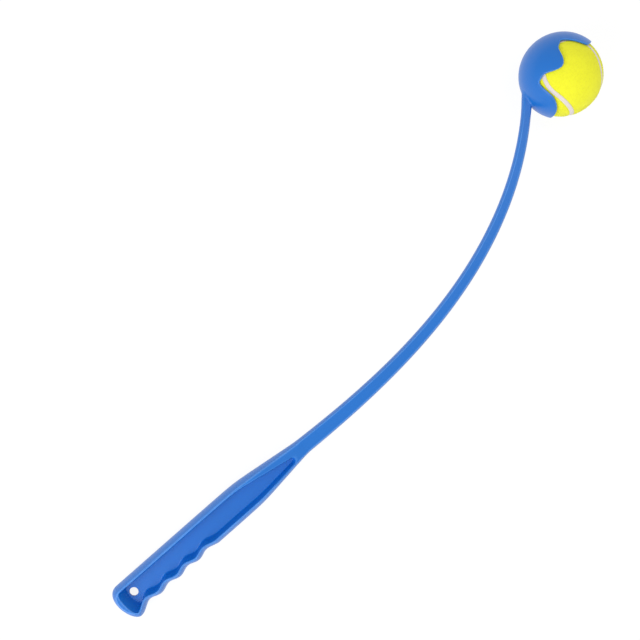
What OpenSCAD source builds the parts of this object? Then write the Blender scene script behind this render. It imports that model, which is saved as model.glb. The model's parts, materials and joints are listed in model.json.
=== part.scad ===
// Dog tennis ball launcher: a moulded handle, curved shaft and pronged cup with a tennis ball seated in it.
// Millimetres. The origin is the centre of the hanging hole. +X runs along the handle towards the shaft, and
// +Z is up as the launcher lies on a table, resting on its butt and on the side of its cup.

/* [Ball] */
// Diameter of the tennis ball over its felt
ball_d = 65; // [60:0.5:70]
// Thickness of the felt
felt_t = 2.8; // [2:0.1:3.6]
// Wall of the hollow rubber core
core_t = 3.4; // [2.5:0.1:4.5]
// Width of the seam between the two felt panels
seam_w = 3.6; // [2:0.1:5]
// How far the seam lies below the felt
seam_drop = 0.4; // [0.2:0.1:1]
// Lift of the seam's four bends from the ball's equator, in degrees
seam_lift = 18; // [10:0.5:20]
// Turn of the seated ball about X, in degrees
ball_turn_x = 120; // [0:1:360]
// Turn of the seated ball about Y, in degrees
ball_turn_y = 49; // [0:1:360]
// Turn of the seated ball about Z, in degrees
ball_turn_z = 18; // [0:1:360]

/* [Cup] */
// Clearance between the ball and the cup, on the radius
cup_gap = 0.3; // [0.2:0.1:1]
// Wall of the cup
cup_wall = 1.6; // [1.4:0.1:4]
// Angle between the mouth axis and the tip of the long prong away from the shaft, in degrees
far_tip = 75.5; // [73:0.5:82]
// How much the end of that prong falls away to its corners, in degrees
far_fall = 7.5; // [4:0.5:12]
// Angle between the mouth axis and the bottoms of the notches beside that prong, in degrees
far_notch = 118; // [110:0.5:124]
// Angle between the mouth axis and the tip of the long prong at the shaft, in degrees
root_tip = 79.5; // [74:0.5:84]
// How much the end of that prong falls away to its corners, in degrees
root_fall = 20; // [8:0.5:24]
// Angle between the mouth axis and the bottoms of the notches beside that prong, in degrees
root_notch = 121.5; // [112:0.5:124]
// Angle between the mouth axis and the tips of the two short prongs at the sides, in degrees
side_tip = 103; // [97:0.5:107]
// Half of the turn round the mouth axis that the prong away from the shaft takes up, in degrees
far_prong_half = 46.5; // [44:0.5:53]
// Half of the turn round the mouth axis that the prong at the shaft takes up, in degrees
root_prong_half = 48.5; // [44:0.5:53]
// Turn round the mouth axis over which a short prong rises from a notch, in degrees
side_half = 27.5; // [24:0.5:36]
// Turn from the end of the shaft to the middle of the cup, to the finger side, in degrees
cup_turn = 53; // [40:0.5:65]
// Turn from the end of the shaft to the mouth axis, to the finger side, in degrees
mouth_turn = 112; // [100:0.5:125]

/* [Shaft] */
// Length of the shaft along its curve
shaft_l = 339; // [250:0.5:420]
// Width of the shaft where it leaves the handle
shaft_w_start = 13.6; // [11:0.1:16]
// Width of the shaft at the cup
shaft_w_end = 7.6; // [6:0.1:11]
// How much narrower the shaft is a third of the way along than an even taper would make it
shaft_waist = 0.6; // [0:0.1:1.5]
// Thickness of the shaft where it leaves the handle
shaft_t_start = 13; // [10:0.1:16]
// Thickness of the shaft at the cup
shaft_t_end = 9; // [7:0.1:12]
// Swell of the shaft's front and back edges
shaft_bulge = 1.6; // [0.8:0.1:2.5]
// Angle by which the shaft dips below the handle's axis at first, in degrees
shaft_dip = 2.5; // [0:0.1:5]
// Whole angle through which the shaft bends, in degrees
shaft_bend = 49.3; // [30:0.5:60]
// Share of the bend that is spread evenly, while the rest tightens towards the cup
shaft_even = 0.245; // [0:0.005:0.5]
// Extra width and thickness where the shaft runs into the cup
root_flare = 0.8; // [0:0.1:5]
// Length of that flare
root_flare_l = 16; // [8:1:30]

/* [Handle] */
// Distance from the butt to the hanging hole
hole_inset = 17; // [16:0.1:22]
// Distance from the hanging hole to the start of the shaft
joint_x = 180; // [165:1:200]
// Offset of the start of the shaft from the handle's axis, to the finger side
joint_drop = 2.2; // [0:0.1:5]
// Distance from the handle's axis to its back
grip_back = 12.7; // [11:0.1:15]
// Distance from the handle's axis to the ridges on its finger side
grip_front = 15.5; // [13:0.1:18]
// Thickness of the handle
handle_h = 24; // [20:0.5:30]
// Depth of the finger grooves
groove_depth = 2.5; // [1:0.1:4]
// Distance between the finger grooves
groove_pitch = 20; // [18:0.5:23]
// Number of finger grooves
groove_count = 4; // [3:1:4]
// Distance from the hanging hole to the first finger groove
groove_start = 6.5; // [5:0.5:9]
// Distance from the handle's axis to the tip of the butt's flare
flare_reach = 18.6; // [17:0.1:21]
// Swell of the handle's front and back walls
grip_bulge = 3.6; // [2:0.1:4.5]
// Swell of the butt
butt_bulge = 3.4; // [2:0.1:4]
// Where the back starts to taper towards the shaft
back_taper_x = 117; // [105:1:130]
// Where the finger side starts to taper towards the shaft
front_taper_x = 126; // [120:1:135]
// Where the thickness starts to taper towards the shaft
height_taper_x = 131; // [126:1:140]

/* [Recess] */
// Thickness of the web between the two recesses
web_t = 3; // [2:0.1:5]
// Width of the rim on the finger side
rim_front = 1; // [0.8:0.1:2]
// Width of the rim on the back
rim_back = 1; // [0.8:0.1:2.5]
// Width of the rim at the butt
rim_butt = 3.3; // [2.5:0.1:5]
// How much wider the back rim grows towards the shaft
rim_land = 6.3; // [4:0.1:7]
// Distance from the hanging hole to the far end of the recess
recess_end_x = 168; // [155:1:172]
// Draft of the recess's finger side from rim to web
draft_front = 2.4; // [1.8:0.1:3.6]
// How far the grooves at the foot of the recess lie towards the shaft from those of the rim
foot_slip = 2.6; // [0:0.1:2.8]
// Draft of the recess's back from rim to web
draft_back = 1; // [0.5:0.1:2]
// Draft of the recess's far end from rim to web
draft_end = 2.5; // [1:0.1:4]

/* [Hanging hole] */
// Diameter of the hanging hole
hole_d = 7.2; // [5:0.1:8]
// Flat web left between the hanging hole and the recess's butt end
hole_land = 0.9; // [0.5:0.1:1.5]

/* [Hidden] */
$fn = 96;

// Heights across the thickness, as a share of half of it, at which the outside of the moulding is drawn
LEVELS = [-1, -0.7, -0.4, 0, 0.4, 0.7, 1];
// Softness of the bends where a taper starts and ends, and its end's distance from the shaft
TAPER_SOFT = 8;
TAPER_END_SOFT = 5;
TAPER_END = 2;
// Reach of the butt's rounded end along the handle, outside and in the recess
BUTT_REACH = 9;
RECESS_REACH = 3.5;
// Share of the butt's roundness that lies on its finger side
BUTT_SKEW = 0.36;
// Share of the pitch over which the last groove rises to the plain grip
GROOVE_RUNOUT = 0.62;
// Roundness of the recess's far end, along the handle
RECESS_TIP_R = 4.5;
// Share of the pull on a cubic curve's two inner points by which its middle moves
CUBIC_PULL = 3 / 8;
// Reach of the cutter for the cup's rim, in radii of the cup
RIM_CUT_REACH = 3;
// Steepness of the edges of the cup's long prongs, and the curve of their ends
PRONG_STEEP = 44;
PRONG_CURVE = 4;
// Ends of the cones that cut the felt, in radii of the ball from its middle
CONE_NEAR = 0.3;
CONE_FAR = 1.2;
// Counts of points on the handle's finger side, butt, back and far end, along the shaft and round the rim
FRONT_STEPS = 72;
BUTT_STEPS = 14;
BACK_STEPS = 14;
FAR_STEPS = 8;
SHAFT_STEPS = 34;
RIM_STEPS = 144;

ball_r = ball_d / 2;
core_r = ball_r - felt_t;
cup_in_r = ball_r + cup_gap;
cup_r = cup_in_r + cup_wall;
seam_angle = acos(cos(seam_lift) * cos(45));
seam_half_angle = seam_w / 2 / ball_r * 180 / PI;

butt_x = -hole_inset;
valley = grip_front - groove_depth;
last_groove_x = groove_start + (groove_count - 1) * groove_pitch;
groove_end_x = last_groove_x + GROOVE_RUNOUT * groove_pitch;
recess_butt_x = -hole_d / 2 - hole_land;

// Helpers for curves
function mix(a, b, t) = a + (b - a) * t;
function ease(t) = (1 - cos(180 * t)) / 2;
function ramp(x, soft) = (x + norm([x, soft])) / 2;
function run(x, start) = ramp(x - start, TAPER_SOFT) - ramp(x - joint_x + TAPER_END, TAPER_END_SOFT);
function taper(x, start) = run(x, start) / run(joint_x, start);

// Outline of the handle, seen from above, and its thickness, at a distance x along it
function back_y(x) = mix(grip_back, shaft_w_start / 2 - joint_drop, taper(x, back_taper_x));
function plain_front_y(x) = mix(-grip_front, -shaft_w_start / 2 - joint_drop, taper(x, front_taper_x));
function flare_y(x) = -mix(valley, flare_reach, ease((groove_start - x) / (groove_start - flare_x)));
function groove_y(x) = -valley - groove_depth * ease(2 * (x - groove_start) / groove_pitch);
function runout_y(x) = -valley - groove_depth * ease((x - last_groove_x) / (groove_end_x - last_groove_x));
function front_y(x) =
    x < flare_x ? -flare_reach :
    x < groove_start ? flare_y(x) :
    x < last_groove_x ? groove_y(x) :
    x < groove_end_x ? runout_y(x) :
    plain_front_y(x);
function half_h(x) = mix(handle_h, shaft_t_start, taper(x, height_taper_x)) / 2;
function side_bulge(x) = mix(grip_bulge, shaft_bulge, taper(x, back_taper_x));
function back_land(x) = rim_back + rim_land * taper(x, back_taper_x);
flare_x = butt_x + BUTT_REACH;

// Point of a smooth curve that leaves two points along -X and bulges out to end_x
function butt_point(front, back, end_x, t) =
    let (pull = (front.x - end_x) / CUBIC_PULL)
    let (front_pull = front - [pull * BUTT_SKEW, 0])
    let (back_pull = back - [pull * (1 - BUTT_SKEW), 0])
    front * (1 - t) ^ 3 + front_pull * 3 * t * (1 - t) ^ 2 + back_pull * 3 * t ^ 2 * (1 - t) + back * t ^ 3;

// One closed ring of the handle, from the far end along the finger side, round the butt and back.
// swell is the share of the bulge that it is set in by, and tip_r rounds its far end.
// slip moves the grooves towards the shaft.
function ring(front_in, back_in, swell, end_x, reach, far_x, tip_r, slip = 0) =
    let (near_x = end_x + reach)
    let (side_x = far_x - tip_r)
    let (front = function (x) [x, front_y(x - slip) + front_in + swell * side_bulge(x)])
    let (back = function (x) [x, back_y(x) - back_in(x) - swell * side_bulge(x)])
    let (far_mid = (front(side_x) + back(side_x)) / 2)
    let (far_half = (back(side_x).y - front(side_x).y) / 2)
    concat(
        [for (i = [0 : FRONT_STEPS - 1]) front(mix(side_x, near_x, i / FRONT_STEPS))],
        [for (i = [0 : BUTT_STEPS - 1]) butt_point(front(near_x), back(near_x), end_x, i / BUTT_STEPS)],
        [for (i = [0 : BACK_STEPS - 1]) back(mix(near_x, side_x, i / BACK_STEPS))],
        [for (i = [0 : FAR_STEPS - 1])
            let (a = 180 * i / FAR_STEPS)
            far_mid + [tip_r * sin(a), far_half * cos(a)]]
    );

function outer_ring(level) =
    let (end_x = butt_x + butt_bulge * level ^ 2)
    let (no_land = function (x) 0)
    [for (p = ring(0, no_land, level ^ 2, end_x, BUTT_REACH, joint_x, 0))
        [p.x, p.y, level * half_h(p.x)]];
function recess_edge(side) =
    let (end_x = butt_x + butt_bulge + rim_butt)
    [for (p = ring(rim_front, function (x) back_land(x), 1, end_x, RECESS_REACH, recess_end_x, RECESS_TIP_R))
        [p.x, p.y, side * half_h(p.x)]];
function recess_foot(side) =
    let (front_in = rim_front + draft_front)
    let (back_in = function (x) back_land(x) + draft_back)
    let (far_x = recess_end_x - draft_end)
    [for (p = ring(front_in, back_in, 1, recess_butt_x, RECESS_REACH, far_x, RECESS_TIP_R, foot_slip))
        [p.x, p.y, side * web_t / 2]];

// Centreline of the shaft, its width and thickness, at a share t of its length
function heading(t) = shaft_bend * (shaft_even * t + (1 - shaft_even) * t ^ 2) - shaft_dip;
function along(angle) = [cos(angle), sin(angle)];
function waist(t) = shaft_waist * 27 / 4 * t * (1 - t) ^ 2;
function flare(t) = root_flare * max(0, 1 - (1 - t) * shaft_l / root_flare_l) ^ 2;
shaft_step = shaft_l / SHAFT_STEPS;
shaft_path = [
    for (i = 0, p = [joint_x, -joint_drop]; i <= SHAFT_STEPS;
        p = p + shaft_step * along(heading((i + 0.5) / SHAFT_STEPS)), i = i + 1) p
];
shaft_end = shaft_path[SHAFT_STEPS];
end_heading = heading(1);
// The shaft runs on into the cup's wall, where the cup's outside cuts it off
run_in = shaft_w_end + root_flare;

// One section of the shaft round point p, square to the given angle
function shaft_section(p, angle, t) =
    let (half_w = (mix(shaft_w_start, shaft_w_end, t) - waist(t) + flare(t)) / 2)
    let (half_t = (mix(shaft_t_start, shaft_t_end, t) + flare(t)) / 2)
    let (edge = function (side, level) p + side * (half_w - shaft_bulge * level ^ 2) * along(angle + 90))
    concat(
        [for (level = LEVELS) let (q = edge(-1, level)) [q.x, q.y, level * half_t]],
        [for (level = LEVELS) let (q = edge(1, -level)) [q.x, q.y, -level * half_t]]
    );
// The first section is square to the handle, which it meets face to face
shaft_rings = concat(
    [for (i = [0 : SHAFT_STEPS])
        let (t = i / SHAFT_STEPS)
        shaft_section(shaft_path[i], i == 0 ? 0 : heading(t), t)],
    [shaft_section(shaft_end + run_in * along(end_heading), end_heading, 1)]
);

// Middle of the cup, and the angle of its mouth axis, in the plane of the launcher
cup_mid = shaft_end + cup_r * along(end_heading - cup_turn);
mouth_angle = end_heading - mouth_turn;
// Angle between the mouth axis and the rim, at an angle round the mouth axis
function rim_at(round) =
    let (turn = abs((round + 90) % 180 - 90))
    let (at_root = cos(round) < 0)
    let (tip = at_root ? root_tip : far_tip)
    let (fall = at_root ? root_fall : far_fall)
    let (notch = at_root ? root_notch : far_notch)
    let (half = at_root ? root_prong_half : far_prong_half)
    let (long = tip + fall * (turn / half) ^ PRONG_CURVE)
    let (side = mix(side_tip, notch, ease(min(1, (90 - turn) / side_half))))
    mix(side, long, 1 / (1 + (turn / half) ^ PRONG_STEEP));

// Tilt of the launcher on a table, on which its butt and the side of its cup both rest
rest_span = cup_mid.x - butt_x - butt_bulge;
rest_tilt = asin(cup_r / norm([rest_span, handle_h / 2])) - atan(handle_h / 2 / rest_span);

// Solid between closed rings of points, which run clockwise as seen from beyond the last ring
module skin(rings) {
    count = len(rings[0]);
    last = (len(rings) - 1) * count;
    sides = [for (r = [0 : len(rings) - 2]) for (i = [0 : count - 1])
        let (a = r * count + i)
        let (b = r * count + (i + 1) % count)
        each [[a, b, b + count], [a, b + count, a + count]]];
    near_cap = [for (i = [count - 1 : -1 : 0]) i];
    far_cap = [for (i = [0 : count - 1]) last + i];
    polyhedron([for (r = rings) each r], concat([near_cap], sides, [far_cap]), convexity = 10);
}

// Places what is modelled in the launcher's own plane as it lies on the table
module laid() {
    rotate([0, -rest_tilt, 0]) children();
}

// Places what is modelled round the middle of the cup, with the mouth along +Z
module in_cup() {
    laid() translate(cup_mid) rotate([90, 0, mouth_angle + 90]) children();
}

module in_ball() {
    laid() translate(cup_mid) rotate([ball_turn_x, ball_turn_y, ball_turn_z]) children();
}

module handle() {
    color("royalblue") laid() difference() {
        skin(concat(
            [recess_foot(-1), recess_edge(-1)],
            [for (level = LEVELS) outer_ring(level)],
            [recess_edge(1), recess_foot(1)]
        ));
        cylinder(h = 2 * web_t, d = hole_d, center = true);
    }
}

module shaft() {
    color("cornflowerblue") laid() difference() {
        skin(shaft_rings);
        translate(cup_mid) sphere(cup_r);
    }
}

// Everything within the wavy rim, seen from the middle of the cup
module rim_cutter() {
    reach = RIM_CUT_REACH * cup_r;
    rim = [for (i = [0 : RIM_STEPS - 1])
        let (round = 360 * i / RIM_STEPS)
        let (angle = rim_at(round))
        reach * [sin(angle) * cos(round), sin(angle) * sin(round), cos(angle)]];
    faces = [for (i = [0 : RIM_STEPS - 1])
        let (a = 2 + i)
        let (b = 2 + (i + 1) % RIM_STEPS)
        each [[0, a, b], [1, b, a]]];
    polyhedron(concat([[0, 0, 0], [0, 0, reach]], rim), faces, convexity = 10);
}

module cup() {
    color("dodgerblue") in_cup() difference() {
        sphere(cup_r);
        sphere(cup_in_r);
        cylinder(h = 2 * cup_r, r = cup_in_r);
        rim_cutter();
    }
}

module shell(outer_r, inner_r) {
    difference() {
        sphere(outer_r);
        sphere(inner_r);
    }
}

module upper_space() {
    translate([-ball_d, -ball_d, 0]) cube(2 * ball_d);
}

// The two cones round the seam's bends above the equator, wider than the seam by an angle
module bend_cones(extra_angle) {
    near = ball_r * CONE_NEAR;
    far = ball_r * CONE_FAR;
    slope = tan(seam_angle + extra_angle);
    for (turn = [45, 225])
        rotate([0, 90 - seam_lift, turn])
            translate([0, 0, near]) cylinder(h = far - near, r1 = near * slope, r2 = far * slope);
}

// Half of the ball's skin above its equator that one felt panel covers, and its lobes below
module panel_waist() {
    difference() {
        intersection() {
            shell(ball_r, core_r);
            upper_space();
        }
        bend_cones(seam_half_angle);
    }
}

module panel_lobes() {
    intersection() {
        shell(ball_r, core_r);
        upper_space();
        bend_cones(-seam_half_angle);
    }
}

// Turns the upper half of the ball's pattern into its lower half
module lower_half() {
    rotate([180, 0, 0]) children();
}

module felt_panel() {
    panel_waist();
    lower_half() panel_lobes();
}

module seam_half() {
    intersection() {
        shell(ball_r - seam_drop, core_r);
        upper_space();
        difference() {
            bend_cones(seam_half_angle);
            bend_cones(-seam_half_angle);
        }
    }
}

module core_half() {
    intersection() {
        shell(core_r, core_r - core_t);
        upper_space();
    }
}

module core_half_a() {
    color("dimgray") in_ball() core_half();
}

module core_half_b() {
    color("gray") in_ball() lower_half() core_half();
}

module felt_panel_a() {
    color("yellow") in_ball() felt_panel();
}

module felt_panel_b() {
    color("greenyellow") in_ball() lower_half() felt_panel();
}

module seam() {
    color("mistyrose") in_ball() {
        seam_half();
        lower_half() seam_half();
    }
}

handle();
shaft();
cup();
core_half_a();
core_half_b();
felt_panel_a();
felt_panel_b();
seam();
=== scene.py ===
"""Dog tennis ball launcher: a moulded handle, shaft and cup with a felt-covered ball seated in the cup.

The moulding is drawn in its own plane, with the hanging hole at the origin, +X along the handle and +Y to its
back, and then laid on the table as the frame has it. All lengths are in metres.
"""

import json
import math

import bmesh
import bpy
import numpy as np
from bpy.props import FloatProperty, FloatVectorProperty, IntProperty, PointerProperty
from bpy.types import Operator, Panel, PropertyGroup
from mathutils import Euler, Matrix, Vector


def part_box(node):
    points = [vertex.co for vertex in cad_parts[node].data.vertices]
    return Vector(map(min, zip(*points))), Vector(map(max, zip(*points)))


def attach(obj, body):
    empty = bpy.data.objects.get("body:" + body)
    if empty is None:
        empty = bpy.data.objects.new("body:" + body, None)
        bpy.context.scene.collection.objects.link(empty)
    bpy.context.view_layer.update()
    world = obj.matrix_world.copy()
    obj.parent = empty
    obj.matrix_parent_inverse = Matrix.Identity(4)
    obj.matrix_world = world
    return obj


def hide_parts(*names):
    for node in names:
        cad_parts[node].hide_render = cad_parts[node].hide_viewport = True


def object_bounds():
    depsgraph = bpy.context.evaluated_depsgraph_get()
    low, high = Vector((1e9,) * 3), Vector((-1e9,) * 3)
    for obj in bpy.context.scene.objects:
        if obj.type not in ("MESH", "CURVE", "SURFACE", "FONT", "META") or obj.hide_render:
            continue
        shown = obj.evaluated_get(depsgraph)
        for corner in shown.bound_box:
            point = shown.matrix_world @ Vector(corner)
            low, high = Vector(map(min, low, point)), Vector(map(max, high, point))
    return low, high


bl_info = {
    "name": "Dog Tennis Ball Launcher",
    "version": (1, 0, 0),
    "blender": (4, 5, 0),
    "location": "View3D > Sidebar > Launcher",
    "description": "Builds a moulded launcher with a felt tennis ball in its cup, and a stage to show it on",
    "category": "Object",
}

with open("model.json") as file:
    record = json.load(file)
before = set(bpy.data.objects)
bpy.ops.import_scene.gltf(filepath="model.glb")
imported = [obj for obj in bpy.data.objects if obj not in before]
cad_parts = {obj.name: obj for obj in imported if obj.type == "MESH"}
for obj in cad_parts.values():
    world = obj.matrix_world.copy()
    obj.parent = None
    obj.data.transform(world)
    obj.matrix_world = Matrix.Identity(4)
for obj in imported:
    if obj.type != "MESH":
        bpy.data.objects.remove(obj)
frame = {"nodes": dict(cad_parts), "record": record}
CAD_BOX = [list(corner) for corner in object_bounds()]

MM = 0.001
MATH = "ShaderNodeMath"
# The hanging hole's axis gives the tilt at which the launcher lies on its butt and on the side of its cup
HOLE_AXIS = frame["record"]["mounts"][0]["axis"]
LAID = Matrix.Rotation(math.atan2(HOLE_AXIS[0], HOLE_AXIS[2]), 4, "Y")
# Most by which the cup's middle may miss the ball's in the frame
FRAME_SLACK = 0.3 * MM

# Counts of points round a corner and up half of a wall
CORNER_STEPS = 5
WALL_STEPS = 9
# Most of a side that a rounded corner takes up
CORNER_SHARE = 0.48
# Share of a wall's height at which its arris starts
ARRIS_LEVEL = 0.92
# Distance from an edge at which its painted highlight ends
HIGHLIGHT_REACH = 0.5 * MM

# Counts of points on the handle's finger side, butt, back and far end, and along a rim's land
FRONT_STEPS = 260
BUTT_STEPS = 56
BACK_STEPS = 90
FAR_STEPS = 28
LAND_STEPS = 5
# Softness of the bends where the handle's tapers start and end, and the end's distance from the shaft
TAPER_SOFT = 8 * MM
TAPER_END_SOFT = 5 * MM
TAPER_END = 2 * MM
# Reach of the butt's rounded end along the handle, outside and in the recess
BUTT_REACH = 9 * MM
RECESS_REACH = 3.5 * MM
# Share of the butt's roundness that lies on its finger side
BUTT_SKEW = 0.36
# Share of the pull on a cubic curve's two inner points by which its middle moves
CUBIC_PULL = 3 / 8
# Share of the pitch over which the last groove rises to the plain grip
GROOVE_RUNOUT = 0.62
# Roundness of the recess's far end, along the handle
RECESS_TIP_R = 4.5 * MM
# Between these two places the lines across the rim run square to the handle
SQUARE_FROM = 12 * MM
SQUARE_TO = 140 * MM
# Lines down the recess's wall, as shares of the way between its two roundings
FALL_SHARES = (0.06, 0.5, 0.94)
# Most that the last line on the web lies inside the recess's foot: a share of the room to the hanging hole, a share
# of the square of the recess's width, and steps that grow between two places near the butt
FLOOR_ROOM = 0.4
FLOOR_WIDTH = 0.03 / MM
FLOOR_PLACES = (2 * MM, 9 * MM)
FLOOR_STEPS = (0.5 * MM, 3 * MM)
# Count of points round the hanging hole, the rounding of its edge, the ring round that and the web kept clear of it
HOLE_STEPS = 48
HOLE_EDGE = 0.3 * MM
HOLE_RING = 0.12 * MM
HOLE_ROOM = 0.5 * MM
# Size of the cells by which the points that handle and shaft share are found
JOINT_CELL = 0.01 * MM

# Counts of the shaft's sections, of those that are spaced anew at the cup, and of rings of the fillet there
SHAFT_STEPS = 132
ROOT_STEPS = 24
FILLET_STEPS = 9
# The curve of the waist is 4/27 high a third of the way along
WAIST_SCALE = 27 / 4
# Halvings by which a line's end on the cup is found, and how far the fillet's edge is sunk there
HALVINGS = 40
FILLET_SUNK = 0.04 * MM
# The shaft's painted edge highlight fades away over one part in this many of its length, at the cup
HIGHLIGHT_FADE = 12

# Counts of points round the cup and from its pole to its rim, and of the finer steps that measure the rim
CUP_ROUND = 340
CUP_ROWS = 46
RIM_STEPS = 40 * CUP_ROUND
# Steepness of the edges of the cup's long prongs, and the curve of their ends
PRONG_STEEP = 44
PRONG_CURVE = 4

# Times that the ball's faces are quartered, and how near its points count as cut and as one, on a radius of 1
BALL_QUARTERINGS = 6
CUT_NEAR = 1e-6
MERGE_NEAR = 5e-4
# How wide and deep the felt rolls down at the seam, and where the lines lie there
ROLL_W = 1.7 * MM
ROLL_DEPTH = 0.75 * MM
ROLL_LINES = np.array([0, 0.25, 0.6, 1.1, 1.7]) * MM
# How far the felt's skin lies under the tips of its nap, and how far felt and seam keep from the core
NAP_ROOM = 0.25 * MM
CORE_ROOM = 0.05 * MM
# Least and most lean of a fibre, and the shortest one as a share of the longest
LEAN_LEAST = math.radians(52)
LEAN_MOST = math.radians(80)
FIBRE_SHORTEST = 0.6
# Seeds of the fibres' places, leans and lengths
PLACE_SEED = 11
LEAN_SEED = 3
LENGTH_SEED = 5
# Counts of the seam's bends, of lines across its top and of sections along a bend
SEAM_BENDS = 4
SEAM_LINES = 9
SEAM_STEPS = 61
# How far the seam's middle stands over its edges, and how near the ends of its bends count as one
SEAM_CROWN = 0.18 * MM
SEAM_MERGE = 0.03 * MM

# Half of the table's width in metres, its grey, and how much of the light and of its own glow is seen on it
TABLE_HALF = 6
TABLE_GREY = 0.8
TABLE_SHADE = 0.14
TABLE_GLOW = 0.9
# The lamps by the names of their settings: width and height, and the way to them, as shares to the picture's
# right, up and towards the camera
LAMPS = (
    ("softbox", (1.2, 1.0), (-0.56, -0.5, 0.66)),
    ("panel", (0.5, 0.5), (0.27, 0.25, 0.93)),
)
LAMP_DISTANCE = 1.5
# Width of the camera's sensor in millimetres
SENSOR_W = 36


def linear(code):
    """Scene-linear red, green and blue of an sRGB hex colour."""
    values = [int(code[i:i + 2], 16) / 255 for i in (1, 3, 5)]
    return tuple(v / 12.92 if v <= 0.04045 else ((v + 0.055) / 1.055) ** 2.4 for v in values)


def length(name, description, mm):
    """A size on the panel."""
    return FloatProperty(name=name, description=description, default=mm * MM, min=0, unit="LENGTH", precision=5)


def angle(name, description, degrees):
    """An angle on the panel."""
    return FloatProperty(name=name, description=description, default=math.radians(degrees), subtype="ANGLE")


def colour(name, description, code):
    """A colour on the panel."""
    return FloatVectorProperty(
        name=name, description=description, default=linear(code), min=0, max=1, subtype="COLOR")


class HandleSizes(PropertyGroup):
    """Sizes of the handle."""

    hole_d: length("Hanging Hole", "Diameter of the hanging hole", 7.2)
    hole_inset: length("Hole Inset", "Distance from the butt to the hanging hole", 17)
    hole_land: length("Hole Land", "Flat web between the hanging hole and the recess's butt end", 0.9)
    joint_x: length("Shaft Start", "Distance from the hanging hole to the start of the shaft", 180)
    joint_drop: length("Shaft Drop", "Offset of the start of the shaft, to the finger side", 2.2)
    grip_back: length("Back", "Distance from the handle's axis to its back", 12.7)
    grip_front: length("Ridges", "Distance from the handle's axis to the ridges on its finger side", 15.5)
    thickness: length("Thickness", "Thickness of the handle", 24)
    groove_depth: length("Groove Depth", "Depth of the finger grooves", 2.5)
    groove_pitch: length("Groove Pitch", "Distance between the finger grooves", 20)
    groove_start: length("First Groove", "Distance from the hanging hole to the first finger groove", 6.5)
    groove_count: IntProperty(name="Grooves", description="Number of finger grooves", default=4, min=1)
    flare_reach: length("Flare", "Distance from the handle's axis to the tip of the butt's flare", 18.6)
    grip_bulge: length("Swell", "Swell of the handle's front and back walls", 3.6)
    butt_bulge: length("Butt Swell", "Swell of the butt", 3.4)
    back_taper_x: length("Back Taper", "Where the back starts to taper towards the shaft", 117)
    front_taper_x: length("Front Taper", "Where the finger side starts to taper towards the shaft", 126)
    height_taper_x: length("Thickness Taper", "Where the thickness starts to taper towards the shaft", 131)
    web: length("Web", "Thickness of the web between the two recesses", 3)
    rim_front: length("Front Rim", "Width of the rim on the finger side", 1)
    rim_back: length("Back Rim", "Width of the rim on the back", 1)
    rim_butt: length("Butt Rim", "Width of the rim at the butt", 3.3)
    rim_land: length("Rim Growth", "How much wider the back rim grows towards the shaft", 6.3)
    recess_end_x: length("Recess End", "Distance from the hanging hole to the far end of the recess", 168)
    draft_front: length("Front Draft", "Draft of the recess's finger side from rim to web", 2.4)
    foot_slip: length("Foot Slip", "How far the grooves at the recess's foot lie towards the shaft", 2.6)
    draft_back: length("Back Draft", "Draft of the recess's back from rim to web", 1)
    draft_end: length("End Draft", "Draft of the recess's far end from rim to web", 2.5)
    arris: length("Arris", "Width of the rounded outer edge of the rims", 0.4)
    recess_edge: length("Recess Edge", "Size of the rounding along the edge of the recess", 0.35)
    recess_fillet: length("Recess Fillet", "Size of the rounding along the foot of the recess", 1.4)


class ShaftSizes(PropertyGroup):
    """Sizes of the shaft."""

    curve_l: length("Length", "Length of the shaft along its curve", 339)
    width_start: length("Start Width", "Width of the shaft where it leaves the handle", 13.6)
    width_end: length("End Width", "Width of the shaft at the cup", 7.6)
    waist: length("Waist", "How much narrower the shaft is a third of the way along than an even taper", 0.6)
    thickness_start: length("Start Thickness", "Thickness of the shaft where it leaves the handle", 13)
    thickness_end: length("End Thickness", "Thickness of the shaft at the cup", 9)
    bulge: length("Swell", "Swell of the shaft's front and back edges", 1.6)
    dip: angle("Dip", "Angle by which the shaft dips below the handle's axis at first", 2.5)
    bend: angle("Bend", "Whole angle through which the shaft bends", 49.3)
    even: FloatProperty(name="Even Share", description="Share of the bend that is spread evenly", default=0.245)
    flare: length("Root Flare", "Extra width and thickness where the shaft runs into the cup", 0.8)
    flare_l: length("Flare Length", "Length of that flare", 16)
    fillet: length("Root Fillet", "Size of the fillet between the shaft and the cup", 3)


class CupSizes(PropertyGroup):
    """Sizes of the cup."""

    gap: length("Clearance", "Clearance between the ball and the cup, on the radius", 0.3)
    wall: length("Wall", "Wall of the cup", 1.6)
    far_tip: angle("Far Prong", "Angle between the mouth axis and the tip of the long prong away from the shaft", 75.5)
    far_fall: angle("Far Prong Fall", "How much the end of that prong falls away to its corners", 7.5)
    far_notch: angle("Far Notches", "Angle between the mouth axis and the notches beside that prong", 118)
    root_tip: angle("Root Prong", "Angle between the mouth axis and the tip of the long prong at the shaft", 79.5)
    root_fall: angle("Root Prong Fall", "How much the end of that prong falls away to its corners", 20)
    root_notch: angle("Root Notches", "Angle between the mouth axis and the notches beside that prong", 121.5)
    far_half: angle("Far Prong Width", "Half of the turn that the prong away from the shaft takes up", 46.5)
    root_half: angle("Root Prong Width", "Half of the turn that the prong at the shaft takes up", 48.5)
    side_tip: angle("Short Prongs", "Angle between the mouth axis and the tips of the two short prongs", 103)
    side_half: angle("Short Prong Rise", "Turn over which a short prong rises from a notch", 27.5)
    turn: angle("Cup Turn", "Turn from the end of the shaft to the middle of the cup", 53)
    mouth_turn: angle("Mouth Turn", "Turn from the end of the shaft to the mouth axis", 112)
    lip: length("Lip", "Most that the edge of the rim is rounded by", 0.9)


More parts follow.
